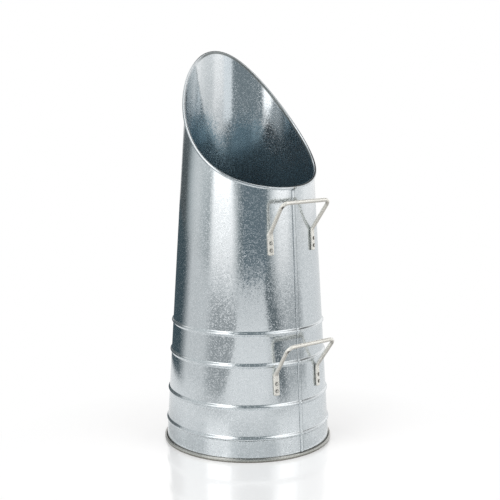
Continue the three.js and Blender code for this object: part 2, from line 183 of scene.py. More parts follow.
# Painted shade inside the rim's bend: darker, rougher and less metallic
RIM_SHADE_EDGE = (2.6, 1.5)                  # below the rim's edge
RIM_SHADE_SIDE = (-32, -12.8)                # no painted shade on the rim's left
RIM_PAINTED_SHADE = (0.19, 0.21, 0.21)
RIM_SHADE_ROUGH = 0.15
RIM_SHADE_DULLS = 0.5

# Painted shade deep in the wall's inside, in millimetres: its level's waves are (place across,
# height)
INSIDE_SHADE_EDGE = (456, 424)
SHADE_LEVEL_WAVES = [(-90, -25), (-60, -20), (-42, 18), (-22, 36), (20, 0), (33, 0), (46, 30), (70, 27),
              (80, -6), (90, -25)]
WAVE_REACH = 120
WAVE_HIGH = 40
SHADE_LEVEL_CLOUD = 50
SHADE_LEVEL_SPECKLE = 30
INSIDE_SHADE_COLOUR = (0.27, 0.385, 0.45)
INSIDE_SHADE_ROUGH = 0.08
INSIDE_SHADE_METALLIC = 0.86

# Wire and rivets: noises as (scale, detail), a bump as (strength, metres)
WIRE_MARKS = (700.0, 3.0)
WIRE_PATCHES = (120.0, 4.0)
WIRE_PATCH_RANGE = (0.35, 0.7)
WIRE_SCUFFS = (260.0, 2.0)
WIRE_SCUFF_RANGE = (0.66, 0.74)
WIRE_DULL = (0.86, 0.84, 0.77)
WIRE_PALE = (0.92, 0.91, 0.86)
WIRE_SCUFFED = (0.30, 0.29, 0.26)
# painted shade on the wire's undersides
WIRE_UNDERSIDE_SHADE = (0.46, 0.44, 0.40)
WIRE_UNDERSIDE_RANGE = (0.1, -0.7)         # how far the surface faces up
WIRE_ROUGH = (0.24, 0.36)
WIRE_BUMP = (0.1, 0.0004)
WIRE_METALLIC = 0.45
CREASE = np.array([1.4, 1.7, -6.0])    # from the bar's left end, in millimetres
CREASE_EDGE = (3.1, 2.1)
# a dark tool mark in the wire's bend, and painted shade round a rivet head's edge
MARK_AND_RIVET_SHADE = (0.12, 0.11, 0.10)
RIVET_PATCHES = (500.0, 3.0)
RIVET_PATCH_RANGE = (0.35, 0.65)
# painted shade round a rivet head's edge, from where it starts to where it is full
RIVET_EDGE_SHADE = (0.58, 0.8)             # shares of the head's radius
RIVET_DULL = (0.58, 0.57, 0.53)
RIVET_PALE = (0.76, 0.75, 0.70)
RIVET_ROUGH = (0.30, 0.48)
RIVET_BUMP = (0.3, 0.0003)
RIVET_METALLIC = 0.9

# Dome of the studio. From here on, places are metres and degrees from the camera's direction
DOME_RADIUS = 3.2
DOME_BOTTOM = 0.075
DOME_HEIGHT = 4.5
DOME_SIDES = 180
DOME_ROWS = 12
DOME_HOLE = 0.1                        # share of a row that stays open at the top
DOME_STRENGTH = 2.0
DOME_DEEP = np.array([0.84, 1.0, 1.05])
DOME_PALE = np.array([1.02, 1.0, 0.99])
LOW_PANELS = [                         # (degrees, how light the dome is there)
    (-180, 0.95), (-168, 0.95), (-154, 0.11), (-126, 0.10), (-118, 0.3), (-110, 0.55),
    (-103, 0.7), (-90, 0.8), (-76, 0.62), (-65, 0.48), (-56, 1.25), (-25, 1.25), (-14, 0.42),
    (-5, 0.15), (26, 0.13), (33, 0.35), (42, 0.8), (52, 1.12), (66, 1.12), (74, 0.82),
    (88, 0.84), (100, 0.92), (110, 1.12), (150, 1.15), (180, 0.95),
]
HIGH_PANELS = [
    (-180, 1.08), (-168, 1.05), (-156, 0.95), (-148, 0.16), (-118, 0.16), (-108, 0.5),
    (-98, 0.72), (-63, 0.7), (-54, 1.9), (-29, 1.9), (-21, 0.6), (-9, 0.3), (26, 0.3), (36, 0.6),
    (48, 1.5), (70, 1.5), (80, 0.9), (150, 1.1), (180, 1.08),
]
PANEL_CHANGE = (0.35, 0.5)             # heights between the low and the high panels
DOME_FOOT = 0.3
DOME_FOOT_LIGHT = 0.82
# Its top behind the object is dim, and the left behind the object is pale high up
BEHIND_HEIGHT = (1.2, 2.4)
BEHIND_DEPTH = (0.2, -0.8)
BEHIND_SIDE = (-1.2, -0.7)
BEHIND_STRENGTH = 0.1
PALE_HEIGHT = (1.6, 1.9)
PALE_TURN = (-104.4, -115.2)

# How dark the floor is in the metal: shades go from 0 to 1, and a pair says where a part starts
# and where it is full
FLOOR_DARK = (0.05, 0.08, 0.095)
FLOOR_LIFT = 0.001
FLOOR_START = 0.138
FLOOR_EDGE = (0.95, 1.0)               # shares of the dome's radius
BASE_SHADE = 0.08
CLOSE_REACH = (0.5, 0.42)
CLOSE_SHADE = 0.06
WIDE_REACH = (1.2, 2.4)
WIDE_TURN = (22, 37)
WIDE_SHADE = 0.12
# Both sides of the pale strip, close to the object
WING_REACH = (0.6, 0.45)
WING_TURN = (14, 24)
WING_END = (78, 62)
WING_SHADE = 0.2
WING_CLOSE = -0.17
WING_NEAR = 0.13
WING_NEAR_REACH = (0.27, 0.2)
# Left, right and back, away from the object
AWAY_REACH = (0.32, 0.74)
SIDE_TURN = (-50, -66)
SIDE_SHADE = 0.33
LEFT_SHADES = (0.66, 0.04)             # near and far
LEFT_REACH = (2.3, 3.4)
LEFT_LINE = (0.25, 0.13)               # how far left it starts, and how much more per metre of x
LEFT_SOFT = 0.06
LEFT_TURN = (-82, -48)
RIGHT_SHADE = 0.92
RIGHT_LOSS = 0.36
RIGHT_FAR_LOSS = 0.3
RIGHT_REACH = (2.6, 3.1)
RIGHT_LINES = ((0.07, 0.62), (0.42, 0.28))    # the same to the right, whichever is nearer
RIGHT_EDGE = (0.0, 0.08)
RIGHT_INNER = (0.2, 0.5)
RIGHT_TURN = (98, 84)
BACK_TURN = (-84, -120)
BACK_REACH = (0.47, 0.55)

# Upright cards that only the metal shows
CARD_ROWS = 48
FRONT_DARK = (0.15, 0.195, 0.222)
FRONT_RADIUS = 1.0
FRONT_BOTTOM = 0.2
FRONT_TOP = 0.75
FRONT_LEFT = -17
FRONT_RIGHT = 37
FRONT_SOFT_LEFT = 14
FRONT_SOFT_RIGHT = 12
MOUTH_RADIUS = 0.26
MOUTH_SIDES = 40
MOUTH_SOFT_TURN = 6
MOUTH_SOFT_HEIGHT = 0.012

# White floor, sky and lamps
PAPER_RADIUS = 3.1
PAPER_SIDES = 96
PAPER = (0.80, 0.80, 0.80, 1)
PAPER_ROUGH = 0.10
PAPER_IOR = 2.3
PAPER_GLOW = 0.19
PAPER_FRONT = 0.08                     # the paper's middle, towards the camera
PAPER_EDGE = (0.17, 0.38)
WHITE = (1, 1, 1, 1)
SKY_LIGHT = 0.5
LAMP_AIM = Vector((0, 0, 0.25))


def outside_radius(z):
    return FLOOR_RADIUS - TAPER * z


def bead_rise(z):
    rise = 0.0
    for middle in BEADS:
        across = abs(z - middle) / BEAD_HEIGHT
        if across < 0.5:
            rise += BEAD_DEPTH * (1 + math.cos(2 * math.pi * across)) / 2
    return rise


def wall_radius(z):
    """Radius of the middle of the sheet."""
    return outside_radius(z) - HALF + bead_rise(z)


def bar_front(foot_z):
    bend = outside_radius(foot_z + LEG_LENGTH) + LEG_MIDDLE
    return math.sqrt(bend * bend - LEG_SPAN ** 2 / 4) + HANDLE_REACH + HANDLE_WIRE / 2


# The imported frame's middle lies halfway between the lower bar and the back of the foot
AXIS_Y = (bar_front(LOWER_FOOT) - (FLOOR_RADIUS + 3 * LAYER)) / 2


def rim_top(angle):
    across = -math.cos(angle - MOUTH_TURN)
    return MOUTH_SIDE + MOUTH_SLOPE * across + MOUTH_SCOOP * across * across


def edge_height(angle):
    """Where the wall ends and the curl starts."""
    return rim_top(angle) - ROLL_RADIUS


def around(radius, angle, z):
    return np.array([radius * math.sin(angle), -radius * math.cos(angle), z])


def unit(vector):
    return vector / np.linalg.norm(vector)


def offset_path(points, distance):
    """Moves a flat path sideways, to the right of its direction."""
    points = np.asarray(points, float)
    steps = np.diff(points, axis=0)
    steps /= np.linalg.norm(steps, axis=1)[:, None]
    into = np.vstack([steps[:1], steps])
    out = np.vstack([steps, steps[-1:]])
    along = into + out
    along /= np.linalg.norm(along, axis=1)[:, None]
    sharpness = np.abs((along * into).sum(axis=1))
    side = np.column_stack([along[:, 1], -along[:, 0]])
    return points + side * (distance / sharpness)[:, None]


def arc(centre, start, turn, steps=FOLD_STEPS):
    """Points inside an arc round centre, without its two ends."""
    centre, start = np.array(centre), np.array(start)
    points = []
    for i in range(1, steps):
        angle = turn * i / steps
        x, y = start - centre
        points.append(centre + (x * math.cos(angle) - y * math.sin(angle),
                                x * math.sin(angle) + y * math.cos(angle)))
    return points


def add_object(name, data):
    thing = bpy.data.objects.new(name, data)
    bpy.context.scene.collection.objects.link(thing)
    return thing


def set_attribute(thing, name, values):
    thing.data.attributes.new(name, "FLOAT", "POINT").data.foreach_set("value", values)


def make_piece(name, points, faces, material, nodes, sharp=SMOOTH_ANGLE):
    """A mesh of points in millimetres, which rides on the frame and stands for the named nodes."""
    metres = (np.asarray(points, float) + (0, AXIS_Y, 0)) / 1000
    mesh = bpy.data.meshes.new(name)
    mesh.from_pydata(metres.tolist(), [], [list(face) for face in faces])
    mesh.validate()
    mesh.polygons.foreach_set("use_smooth", [True] * len(mesh.polygons))
    mesh.set_sharp_from_angle(angle=sharp)
    mesh.materials.append(material)
    piece = add_object(name, mesh)
    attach(piece, "root")
    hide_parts(*nodes)
    return piece


# Shapes

def cover_edge():
    """The sheet's right-hand edge as (along the wall, outwards), from its end: it lies inside the
    seam, folds round on the left and covers the seam."""
    centre = (-SEAM_WIDTH / 2 + SEAM_LAYER, 0)
    hidden = (centre[0], -SEAM_LAYER)
    inner_fold = SEAM_WIDTH / 2 - SEAM_INSET - SEAM_LAYER
    return [(inner_fold, -SEAM_LAYER), hidden, *arc(centre, hidden, -math.pi),
            (centre[0], SEAM_LAYER), (SEAM_WIDTH / 2, SEAM_LAYER),
            (SEAM_WIDTH / 2 + COVER_STEP, 0), (SEAM_EDGE, 0)]


def hooked_edge():
    """The sheet's left-hand edge: it steps inwards, runs under the seam and folds round on the
    right into the cover's fold."""
    centre = (SEAM_WIDTH / 2 - SEAM_INSET - SEAM_LAYER, -SEAM_LAYER)
    under = (centre[0], -2 * SEAM_LAYER)
    step_foot = -SEAM_WIDTH / 2 - HOOK_ROOM
    return [(-SEAM_EDGE, 0), (step_foot - HOOK_STEP, 0), (step_foot, under[1]), under,
            *arc(centre, under, math.pi), (centre[0], 0), (-SEAM_WIDTH / 2 + SEAM_LAYER, 0)]


def wall_columns():
    """Columns as (angle, front, back, plain x): seam columns have no angle of their own."""
    def seam(path, sign):
        front, back = offset_path(path, -HALF), offset_path(path, HALF)
        last = len(path) - 1
        columns = []
        for i in range(len(path)):
            step = i if sign > 0 else last - i
            plain_x = sign * (EDGE_GAP + (SEAM_EDGE - EDGE_GAP) * step / last)
            columns.append((None, front[i], back[i], plain_x))
        return columns
    plain = [(2 * math.pi * i / WALL_STEPS, None, None, None) for i in range(WALL_STEPS)]
    room = (SEAM_EDGE + SEAM_SHOULDER) / LIP_RADIUS
    plain = [c for c in plain if room < c[0] < 2 * math.pi - room]
    return [*seam(cover_edge(), 1), *plain, *seam(hooked_edge(), -1)]


def foot_hook():
    """The wall's foot, turned up outside it, as (outwards from the wall, height) from its end."""
    fold_z = LAYER + HALF + LAYER
    outer = (2 * LAYER, fold_z)
    hook_top = FOOT_HEIGHT - HALF - LAYER
    return [(outer[0], hook_top), outer, *arc((LAYER, fold_z), outer, -math.pi)]


def wall_heights(angle):
    """Heights of the wall's rows, from the foot's hook to the curl. The seam is folded from the
    third to the third from last."""
    edge = edge_height(angle)
    beads = [middle + (i / BEAD_STEPS - 0.5) * BEAD_HEIGHT
             for middle in BEADS for i in range(-1, BEAD_STEPS + 2)]
    return [LAYER + HALF + LAYER, FOOT_HEIGHT, FOOT_HEIGHT + SEAM_SLOT, *beads,
            edge - CURL_TAB - SEAM_SLOT, edge - CURL_TAB, edge]


def rim_frame(angle):
    """The wall's edge at this angle, and the directions along it, out of the wall and up it."""
    step = 0.001

    def at(value):
        height = edge_height(value)
        return around(wall_radius(height), value, height)

    along = unit(at(angle + step) - at(angle - step))
    out = unit(around(1, angle, TAPER))
    up = unit(np.cross(out, along))
    return at(angle), along, np.cross(along, up), up


def curl_point(angle, share, radius):
    """A point this share of the way round the curl, at a radius from the wire's middle."""
    edge, _, out, up = rim_frame(angle)
    turn = CURL_TURN * share
    return (edge + out * (CURL_RADIUS - radius * math.cos(turn))
            + up * radius * math.sin(turn))


def body_shell(material):
    """The wall as one sheet, with all outer points before the inner ones. The seam's folds stop
    at a slot above the foot and at one below the curl."""
    columns = wall_columns()
    hook = foot_hook()
    start = len(hook)
    seam_heights = wall_heights(0)
    curl_start = start + len(seam_heights)
    rows = curl_start + CURL_STEPS
    seam_first, seam_last = start + 2, curl_start - 3

    def column_points(column, side):
        angle, front, back, plain_x = column
        own = plain_x / wall_radius(edge_height(0)) if angle is None else angle
        path = [(wall_radius(y) + x, y) for x, y in hook]
        path += [(wall_radius(z), z) for z in wall_heights(own)]
        flat = offset_path(path, side * HALF)
        points = []
        for row in range(rows):
            if angle is None and seam_first <= row <= seam_last:
                z = seam_heights[row - start]
                x, y = front if side > 0 else back
                points.append(around(wall_radius(z) + y, x / wall_radius(z), z))
            elif row >= curl_start:
                share = (row - curl_start + 1) / CURL_STEPS
                points.append(curl_point(own, share, CURL_RADIUS - side * HALF))
            else:
                x, z = flat[row]
                points.append(around(x, plain_x / x if angle is None else angle, z))
        return points

    count = len(columns)
    points = [p for column in columns for p in column_points(column, 1)]
    points += [p for column in columns for p in column_points(column, -1)]
    back = count * rows

    def has(i, k):
        if not (0 <= i < count - 1 and 0 <= k < rows - 1):
            return False
        seam_cell = columns[i][0] is None and columns[i + 1][0] is None
        return not (seam_cell and k in (seam_first - 1, seam_last))

    faces = []
    for i in range(count - 1):
        for k in range(rows - 1):
            if not has(i, k):
                continue
            a, b, c, d = (i * rows + k, (i + 1) * rows + k,
                          (i + 1) * rows + k + 1, i * rows + k + 1)
            faces.append((a, b, c, d))
            faces.append((a + back, d + back, c + back, b + back))
            for p, q, di, dk in ((d, a, -1, 0), (b, c, 1, 0), (a, b, 0, -1), (c, d, 0, 1)):
                if not has(i + di, k + dk):
                    faces.append((q, p, p + back, q + back))
    return make_piece("wall_sheet", points, faces, material, ["body_shell"])


def lathe(outline, sides):
    """Points and faces of an outline of (radius, z), turned round Z, which starts and ends on Z."""
    points, faces = [], []
    n = len(outline)
    for i in range(sides):
        angle = 2 * math.pi * i / sides
        points += [around(r, angle, z) for r, z in outline]
    for i in range(sides):
        j = (i + 1) % sides
        for k in range(n - 1):
            faces.append((i * n + k, j * n + k, j * n + k + 1, i * n + k + 1))
    return merge(points, faces)


def merge(points, faces):
    """Joins the points that meet, and drops the corners and faces that this leaves empty."""
    points = np.asarray(points, float)
    _, index, inverse = np.unique(np.round(points, MERGE_DIGITS), axis=0, return_index=True,
                                  return_inverse=True)
    inverse = inverse.ravel()
    kept = []
    for face in faces:
        corners = []
        for i in face:
            if inverse[i] not in corners:
                corners.append(int(inverse[i]))
        if len(corners) > 2:
            kept.append(corners)
    return points[index], kept


def bottom_path():
    """The bottom's section as (radius, z), from its middle: panel, down inside the wall, foot
    ring, up outside the wall's hook and over into it."""
    def chuck(z):
        return wall_radius(z) - LAYER

    ring = wall_radius(HALF) + 3 * LAYER
    hook_top = FOOT_HEIGHT - HALF - LAYER
    panel_x = chuck(PANEL_HEIGHT) - PANEL_BEND
    panel_z = PANEL_HEIGHT - PANEL_BEND
    under_x = chuck(HALF) + FOOT_BEND
    outer_x, bend_z = ring - FOOT_BEND, HALF + FOOT_BEND
    quarter = math.pi / 2
    outer = (ring, hook_top)
    centre = (ring - LAYER, hook_top)
    return [(0, PANEL_HEIGHT), (panel_x, PANEL_HEIGHT),
            *arc((panel_x, panel_z), (panel_x, PANEL_HEIGHT), -quarter),
            (chuck(panel_z), panel_z), (chuck(bend_z), bend_z),
            *arc((under_x, bend_z), (under_x - FOOT_BEND, bend_z), quarter),
            (under_x, HALF), (outer_x, HALF),
            *arc((outer_x, bend_z), (outer_x, HALF), quarter),
            (ring, bend_z), outer, *arc(centre, outer, math.pi),
            (centre[0] - LAYER, hook_top), (centre[0] - LAYER, LAYER + HALF + LAYER)]


def bottom_disc(material):
    """The bottom as one sheet, recessed inside the wall and hooked round its foot."""
    middle = bottom_path()
    under = offset_path(middle, HALF)
    over = offset_path(middle, -HALF)
    points, faces = lathe([*under, *over[::-1]], WALL_STEPS)
    return make_piece("bottom_sheet", points, faces, material, ["bottom_disc"])


def loft(rings):
    """Skin over rings with equal counts, closed by a flat face at both ends."""
    count = len(rings[0])
    faces = []
    for i in range(len(rings) - 1):
        for k in range(count):
            a, b = i * count + k, i * count + (k + 1) % count
            faces.append((a, b, b + count, a + count))
    end = (len(rings) - 1) * count
    faces.append(tuple(range(count))[::-1])
    faces.append(tuple(end + k for k in range(count)))
    return [p for ring in rings for p in ring], faces


def rim_wire(material):
    """The wire in the curl, seen only through the curl's slit and at its two ends."""
    gap = WIRE_GAP / 2 / wall_radius(edge_height(0))
    rings = []
    for i in range(WALL_STEPS + 1):
        angle = gap + (2 * math.pi - 2 * gap) * i / WALL_STEPS
        edge, _, out, up = rim_frame(angle)
        centre = edge + out * CURL_RADIUS
        rings.append([centre + RIM_WIRE / 2 * (out * math.cos(t) + up * math.sin(t))
                      for t in (2 * math.pi * k / WIRE_SIDES for k in range(WIRE_SIDES))])
    points, faces = loft(rings)
    return make_piece("rim_wire_ring", points, faces, material, ["rim_wire"])


def leg_angle(side, z):
    return math.asin(side * LEG_SPAN / 2 / (outside_radius(z) + LEG_MIDDLE))


def leg_place(side, z, distance):
    return around(outside_radius(z) + distance, leg_angle(side, z), z)


def leg_normal(side, z):
    return unit(around(1, leg_angle(side, z), TAPER))


def turned(vector, axis, angle):
    return (vector * math.cos(angle) + np.cross(axis, vector) * math.sin(angle)
            + axis * axis.dot(vector) * (1 - math.cos(angle)))


def bend(before, corner, after, radius):
    """Stops (point, direction) of a rounded corner, from its start to its end."""
    into, out = unit(corner - before), unit(after - corner)
    turn = math.acos(max(-1.0, min(1.0, into.dot(out))))
    axis = unit(np.cross(into, out))
    start = corner - into * radius * math.tan(turn / 2)
    centre = start + np.cross(axis, into) * radius
    return [(centre + turned(start - centre, axis, turn * k / BEND_STEPS),
             turned(into, axis, turn * k / BEND_STEPS)) for k in range(BEND_STEPS + 1)]


def smooth(share):
    share = max(0.0, min(1.0, share))
    return share * share * (3 - 2 * share)


def bar_end(foot_z):
    """Where the lines of the left arm and of the bar meet."""
    corner = leg_place(-1, foot_z + LEG_LENGTH, LEG_MIDDLE)
    return corner + (-BAR_SPREAD, -HANDLE_REACH, HANDLE_RISE)


def half_handle(foot_z):
    """Stops (point, direction, how flat, scale) from a foot's end to the middle of the bar."""
    foot = leg_place(-1, foot_z, LEG_MIDDLE)
    corner = leg_place(-1, foot_z + LEG_LENGTH, LEG_MIDDLE)
    bar = bar_end(foot_z)
    middle = np.array([0, bar[1], bar[2]])
    up = unit(corner - foot)
    stops = []
    for k in range(END_STEPS + 1):
        share = k / END_STEPS
        scale = FOOT_END_SHARE + (1 - FOOT_END_SHARE) * math.sqrt(1 - (1 - share) ** 2)
        stops.append((foot + up * FOOT_END_ROUND * share, up, 1.0, scale))
    first = bend(foot, corner, bar, LEG_BEND)
    for k, (point, along) in enumerate(first):
        stops.append((point, along, 1 - (1 - BEND_FLAT_SHARE) * smooth(k / BEND_STEPS), 1.0))
    arm = unit(bar - corner)
    for k in range(1, END_STEPS + 1):
        share = k / END_STEPS
        stops.append((first[-1][0] + arm * FLATTEN_RUN * share, arm,
                      BEND_FLAT_SHARE * (1 - smooth(share)), 1.0))
    stops += [(point, along, 0.0, 1.0) for point, along in bend(corner, bar, middle, BAR_BEND)]
    return stops


def wire_section(flat, scale):
    """Outline of the wire, from round at 0 to the foot's flat section at 1."""
    width = HANDLE_WIRE + (FOOT_WIDTH - HANDLE_WIRE) * flat
    height = HANDLE_WIRE + (FOOT_THICKNESS - HANDLE_WIRE) * flat
    power = 1 - FOOT_SQUARE_SHARE * flat
    section = []
    for i in range(HANDLE_SIDES):
        angle = 2 * math.pi * (i + 0.5) / HANDLE_SIDES
        c, s = math.cos(angle), math.sin(angle)
        section.append((width / 2 * scale * math.copysign(abs(c) ** power, c),
                        height / 2 * scale * math.copysign(abs(s) ** power, s)))
    return section


def handle(node, foot_z, material):
    """One bent wire, from the end of its left foot over the bar to the end of its right foot."""
    left = half_handle(foot_z)
    right = [(p * (-1, 1, 1), d * (1, -1, -1), flat, scale) for p, d, flat, scale in left][::-1]
    facing = unit(np.array([0, -HANDLE_RISE, -HANDLE_REACH]))
    rings = []
    for side, stops in ((-1, left), (1, right)):
        for point, along, flat, scale in stops:
            out = leg_normal(side, foot_z) if flat > 0 else facing
            out = unit(out - along * out.dot(along))
            across = np.cross(out, along)
            rings.append([point + across * x + out * y for x, y in wire_section(flat, scale)])
    points, faces = loft(rings)
    return make_piece(f"{node}_wire", points, faces, material, [node])


def rivet_outline():
    """Half a rivet's outline as (radius, distance from the wall), from its tail to its head."""
    under = 2 * CLEARANCE + FOOT_THICKNESS
    inside = -SHEET - CLEARANCE
    shank, head, tail = RIVET_SHANK / 2, RIVET_HEAD / 2, RIVET_TAIL / 2
    dome = [(head * math.cos(t), under + RIVET_HEAD_HEIGHT * math.sin(t))
            for t in (math.pi / 2 * k / RIVET_DOME_STEPS for k in range(RIVET_DOME_STEPS + 1))]
    dome[-1] = (0, dome[-1][1])
    return [(0, inside - RIVET_TAIL_HEIGHT),
            (tail * TAIL_FLAT_SHARE, inside - RIVET_TAIL_HEIGHT),
            (tail, inside - RIVET_TAIL_HEIGHT / 2), (tail, inside), (shank, inside),
            (shank, under), *dome]


def rivets(handle_node, foot_z, material):
    """Two rivets in each foot of a handle. Their points carry their distance from the rivet's
    axis, as a share of the head's radius, for the painted shade round the head's edge."""
    points, faces = lathe(rivet_outline(), RIVET_SIDES)
    from_axis = np.hypot(points[:, 0], points[:, 1]) / (RIVET_HEAD / 2)
    for side, side_name in ((-1, "left"), (1, "right")):
        for level, rise in (("lower", 0), ("upper", RIVET_PITCH)):
            label = f"{side_name}_foot_{level}"
            z = foot_z + RIVET_INSET + rise
            out = leg_normal(side, z)
            across = unit(np.cross((0, 0, 1.0), out))
            turn = np.column_stack([across, np.cross(out, across), out])
            placed = points @ turn.T + leg_place(side, z, 0)
            piece = make_piece(f"{handle_node}_{label}_look", placed, faces, material,
                               [f"{handle_node}_rivet_{label}"],
                               RIVET_SMOOTH_ANGLE)
            set_attribute(piece, "edge", from_axis)


# Materials

class Nodes:
    """Short calls for the nodes of one material or world."""

    def __init__(self, owner):
        owner.use_nodes = True
        self.owner = owner
        self.tree = owner.node_tree
        self.tree.nodes.clear()

    def give(self, socket, value):
        """Links another node's socket to this one, or sets its value."""
        if isinstance(value, bpy.types.NodeSocket):
            self.tree.links.new(value, socket)
        else:
            socket.default_value = value

    def add(self, kind, inputs=None, **settings):
        node = self.tree.nodes.new(kind)
        for key, value in settings.items():
            setattr(node, key, value)
        for key, value in (inputs or {}).items():
            self.give(node.inputs[key], value)
        return node

    def math(self, operation, a, b=0.0):
        return self.add("ShaderNodeMath", {0: a, 1: b}, operation=operation).outputs[0]

    def plus(self, a, b):
        return self.math("ADD", a, b)

    def minus(self, a, b):
        return self.math("SUBTRACT", a, b)

    def times(self, a, b):
        return self.math("MULTIPLY", a, b)

    def over(self, a, b):
        return self.math("DIVIDE", a, b)

    def root_of_squares(self, a, b):
        return self.math("SQRT", self.plus(self.times(a, a), self.times(b, b)))

    def vector(self, operation, a, b=(0, 0, 0)):
        return self.add("ShaderNodeVectorMath", {0: a, 1: b}, operation=operation).outputs[0]

    def distance(self, a, b):
        node = self.add("ShaderNodeVectorMath", {0: a, 1: b}, operation="DISTANCE")
        return node.outputs["Value"]

    def leaning(self, colour, amount):
        """A small vector in a direction that the colour picks."""
        away = self.vector("SUBTRACT", colour, (0.5, 0.5, 0.5))
        node = self.add("ShaderNodeVectorMath", {0: away, "Scale": amount}, operation="SCALE")
        return node.outputs[0]

    def remap(self, value, low, high, to_low=0.0, to_high=1.0):
        return self.add("ShaderNodeMapRange", {"Value": value, "From Min": low, "From Max": high,
                                               "To Min": to_low, "To Max": to_high}).outputs[0]

    def fade(self, value, start, full):
        """From 0 at start to 1 at full, both in millimetres, for a value in metres."""
        return self.remap(value, start / 1000, full / 1000)

    def line(self, value, middle, start, full):
        """1 close to middle, and fading to 0 beside it, in millimetres."""
        away = self.math("ABSOLUTE", self.minus(value, middle / 1000))
        return self.fade(away, start, full)

    def mix(self, factor, a, b):
        node = self.add("ShaderNodeMix", {"Factor": factor}, data_type="RGBA")
        for key, value in ((6, a), (7, b)):
            linked = isinstance(value, bpy.types.NodeSocket)
            self.give(node.inputs[key], value if linked else (*value, 1))
        return node.outputs[2]

    def ramp(self, value, stops):
        node = self.add("ShaderNodeValToRGB", {"Fac": value})
        ramp = node.color_ramp
        while len(ramp.elements) < len(stops):
            ramp.elements.new(1.0)
        for element, (position, colour) in zip(ramp.elements, stops):
            element.position = position
            element.color = (*colour, 1)
        return node.outputs[0]

    def place(self):
        return self.add("ShaderNodeTexCoord").outputs["Object"]

    def parts(self, vector):
        return self.add("ShaderNodeSeparateXYZ", {0: vector}).outputs

    def noise(self, place, scale, detail, output="Fac"):
        node = self.add("ShaderNodeTexNoise", {"Vector": place, "Scale": scale, "Detail": detail})
        return node.outputs[output]

    def grains(self, place, scale):
        return self.add("ShaderNodeTexVoronoi", {"Vector": place, "Scale": scale,
                                                 "Randomness": 1.0}).outputs

    def attribute(self, name):
        return self.add("ShaderNodeAttribute", attribute_name=name).outputs["Fac"]

    def bump(self, height, strength, distance):
        return self.add("ShaderNodeBump", {"Height": height, "Strength": strength,
                                           "Distance": distance}).outputs[0]

    def glow(self, colour, strength):
        return self.add("ShaderNodeEmission", {"Color": colour, "Strength": strength}).outputs[0]

    def blend(self, factor, first, second):
        return self.add("ShaderNodeMixShader", {0: factor, 1: first, 2: second}).outputs[0]

    def surface(self, shader):
        """Ends the material with this shader and returns it."""
        self.add("ShaderNodeOutputMaterial", {"Surface": shader})
        return self.owner

    def metal(self, colour, metallic, rough, normal):
        shader = self.add("ShaderNodeBsdfPrincipled", {
            "Base Color": colour, "Metallic": metallic, "Roughness": rough, "Normal": normal})
        return self.surface(shader.outputs[0])


def new_material(name):
    return Nodes(bpy.data.materials.new(name))


def galvanised(name):
    """Zinc-coated sheet: a fine spangle whose grains lean and shine a little differently, with
    painted shade at the seam's step, at the foot, on the inside and in the bend of the rim."""
    n = new_material(name)
    place = n.place()
    grain = n.grains(place, GRAIN)
    coarse = n.grains(place, COARSE_GRAIN)
    chance = n.add("ShaderNodeTexWhiteNoise", {"Vector": grain["Position"]}).outputs["Value"]
    lean = n.leaning(grain["Color"], n.remap(chance, *UPPER_HALF, *GRAIN_LEAN))
    coarse_lean = n.leaning(coarse["Color"], COARSE_LEAN)
    sway = n.leaning(n.noise(place, *SWAY_NOISE, "Color"), SWAY)
    flat = n.add("ShaderNodeNewGeometry").outputs["Normal"]
    normal = n.vector("ADD", flat, n.vector("ADD", lean, coarse_lean))
    normal = n.vector("NORMALIZE", n.vector("ADD", normal, sway))

    tints = n.add("ShaderNodeSeparateColor", {"Color": grain["Color"]}).outputs
    cloud = n.noise(place, *CLOUD_NOISE)
    tone = n.plus(n.times(tints[0], GRAIN_TONE),
                  n.times(n.noise(place, *SPECKLE_NOISE), SPECKLE_TONE))
    colour = n.mix(n.remap(tone, *TONE_RANGE), SPANGLE_DARK, SPANGLE_PALE)
    colour = n.mix(n.remap(tints[1], *UPPER_HALF), colour, SPANGLE_BRIGHT)
    rough = n.plus(n.remap(tints[1], *UPPER_HALF, *GRAIN_ROUGH),
                   n.remap(cloud, *NOISE_RANGE, *CLOUD_ROUGH))

    x, y, z = n.parts(place)
    # Painted shade in the corner at the foot of the seam's cover step, on the seam's side of the
    # wall
    seam = n.times(n.line(x, SEAM_SHADE_PLACE, *SEAM_SHADE_EDGE), n.math("LESS_THAN", y, 0.0))
    # Painted shade deep inside: darker, rougher and less metallic below an uneven level
    inside_shade = inside_painted_shade(n, place, cloud, tints[2])
    # Painted shade: the foot's ring is darker near the floor
    ring = n.fade(z, *RING_EDGE)
    # Painted shade line in the crease above the foot's ring
    crevice = n.line(z, CREVICE_HEIGHT, *CREVICE_EDGE)
    # Painted shade along the bottom edge, next to the floor
    bottom_shade = n.fade(z, *BOTTOM_SHADE_EDGE)
    # Painted shade inside the bend below the rim
    rim_shade = rim_bend_shade(n, place)
    for amount, dirty in ((seam, SEAM_PAINTED_SHADE), (inside_shade, INSIDE_SHADE_COLOUR), (ring, RING_PAINTED_SHADE),
                          (crevice, CREVICE_PAINTED_SHADE), (bottom_shade, BOTTOM_PAINTED_SHADE), (rim_shade, RIM_PAINTED_SHADE)):
        colour = n.mix(amount, colour, dirty)
    for amount, more in ((inside_shade, INSIDE_SHADE_ROUGH), (ring, RING_ROUGH), (rim_shade, RIM_SHADE_ROUGH)):
        rough = n.plus(rough, n.times(amount, more))
    metallic = n.minus(n.remap(inside_shade, 0.0, 1.0, SHEET_METALLIC, INSIDE_SHADE_METALLIC),
                       n.plus(n.times(bottom_shade, BOTTOM_SHADE_DULLS), n.times(rim_shade, RIM_SHADE_DULLS)))
    return n.metal(colour, metallic, rough, normal)


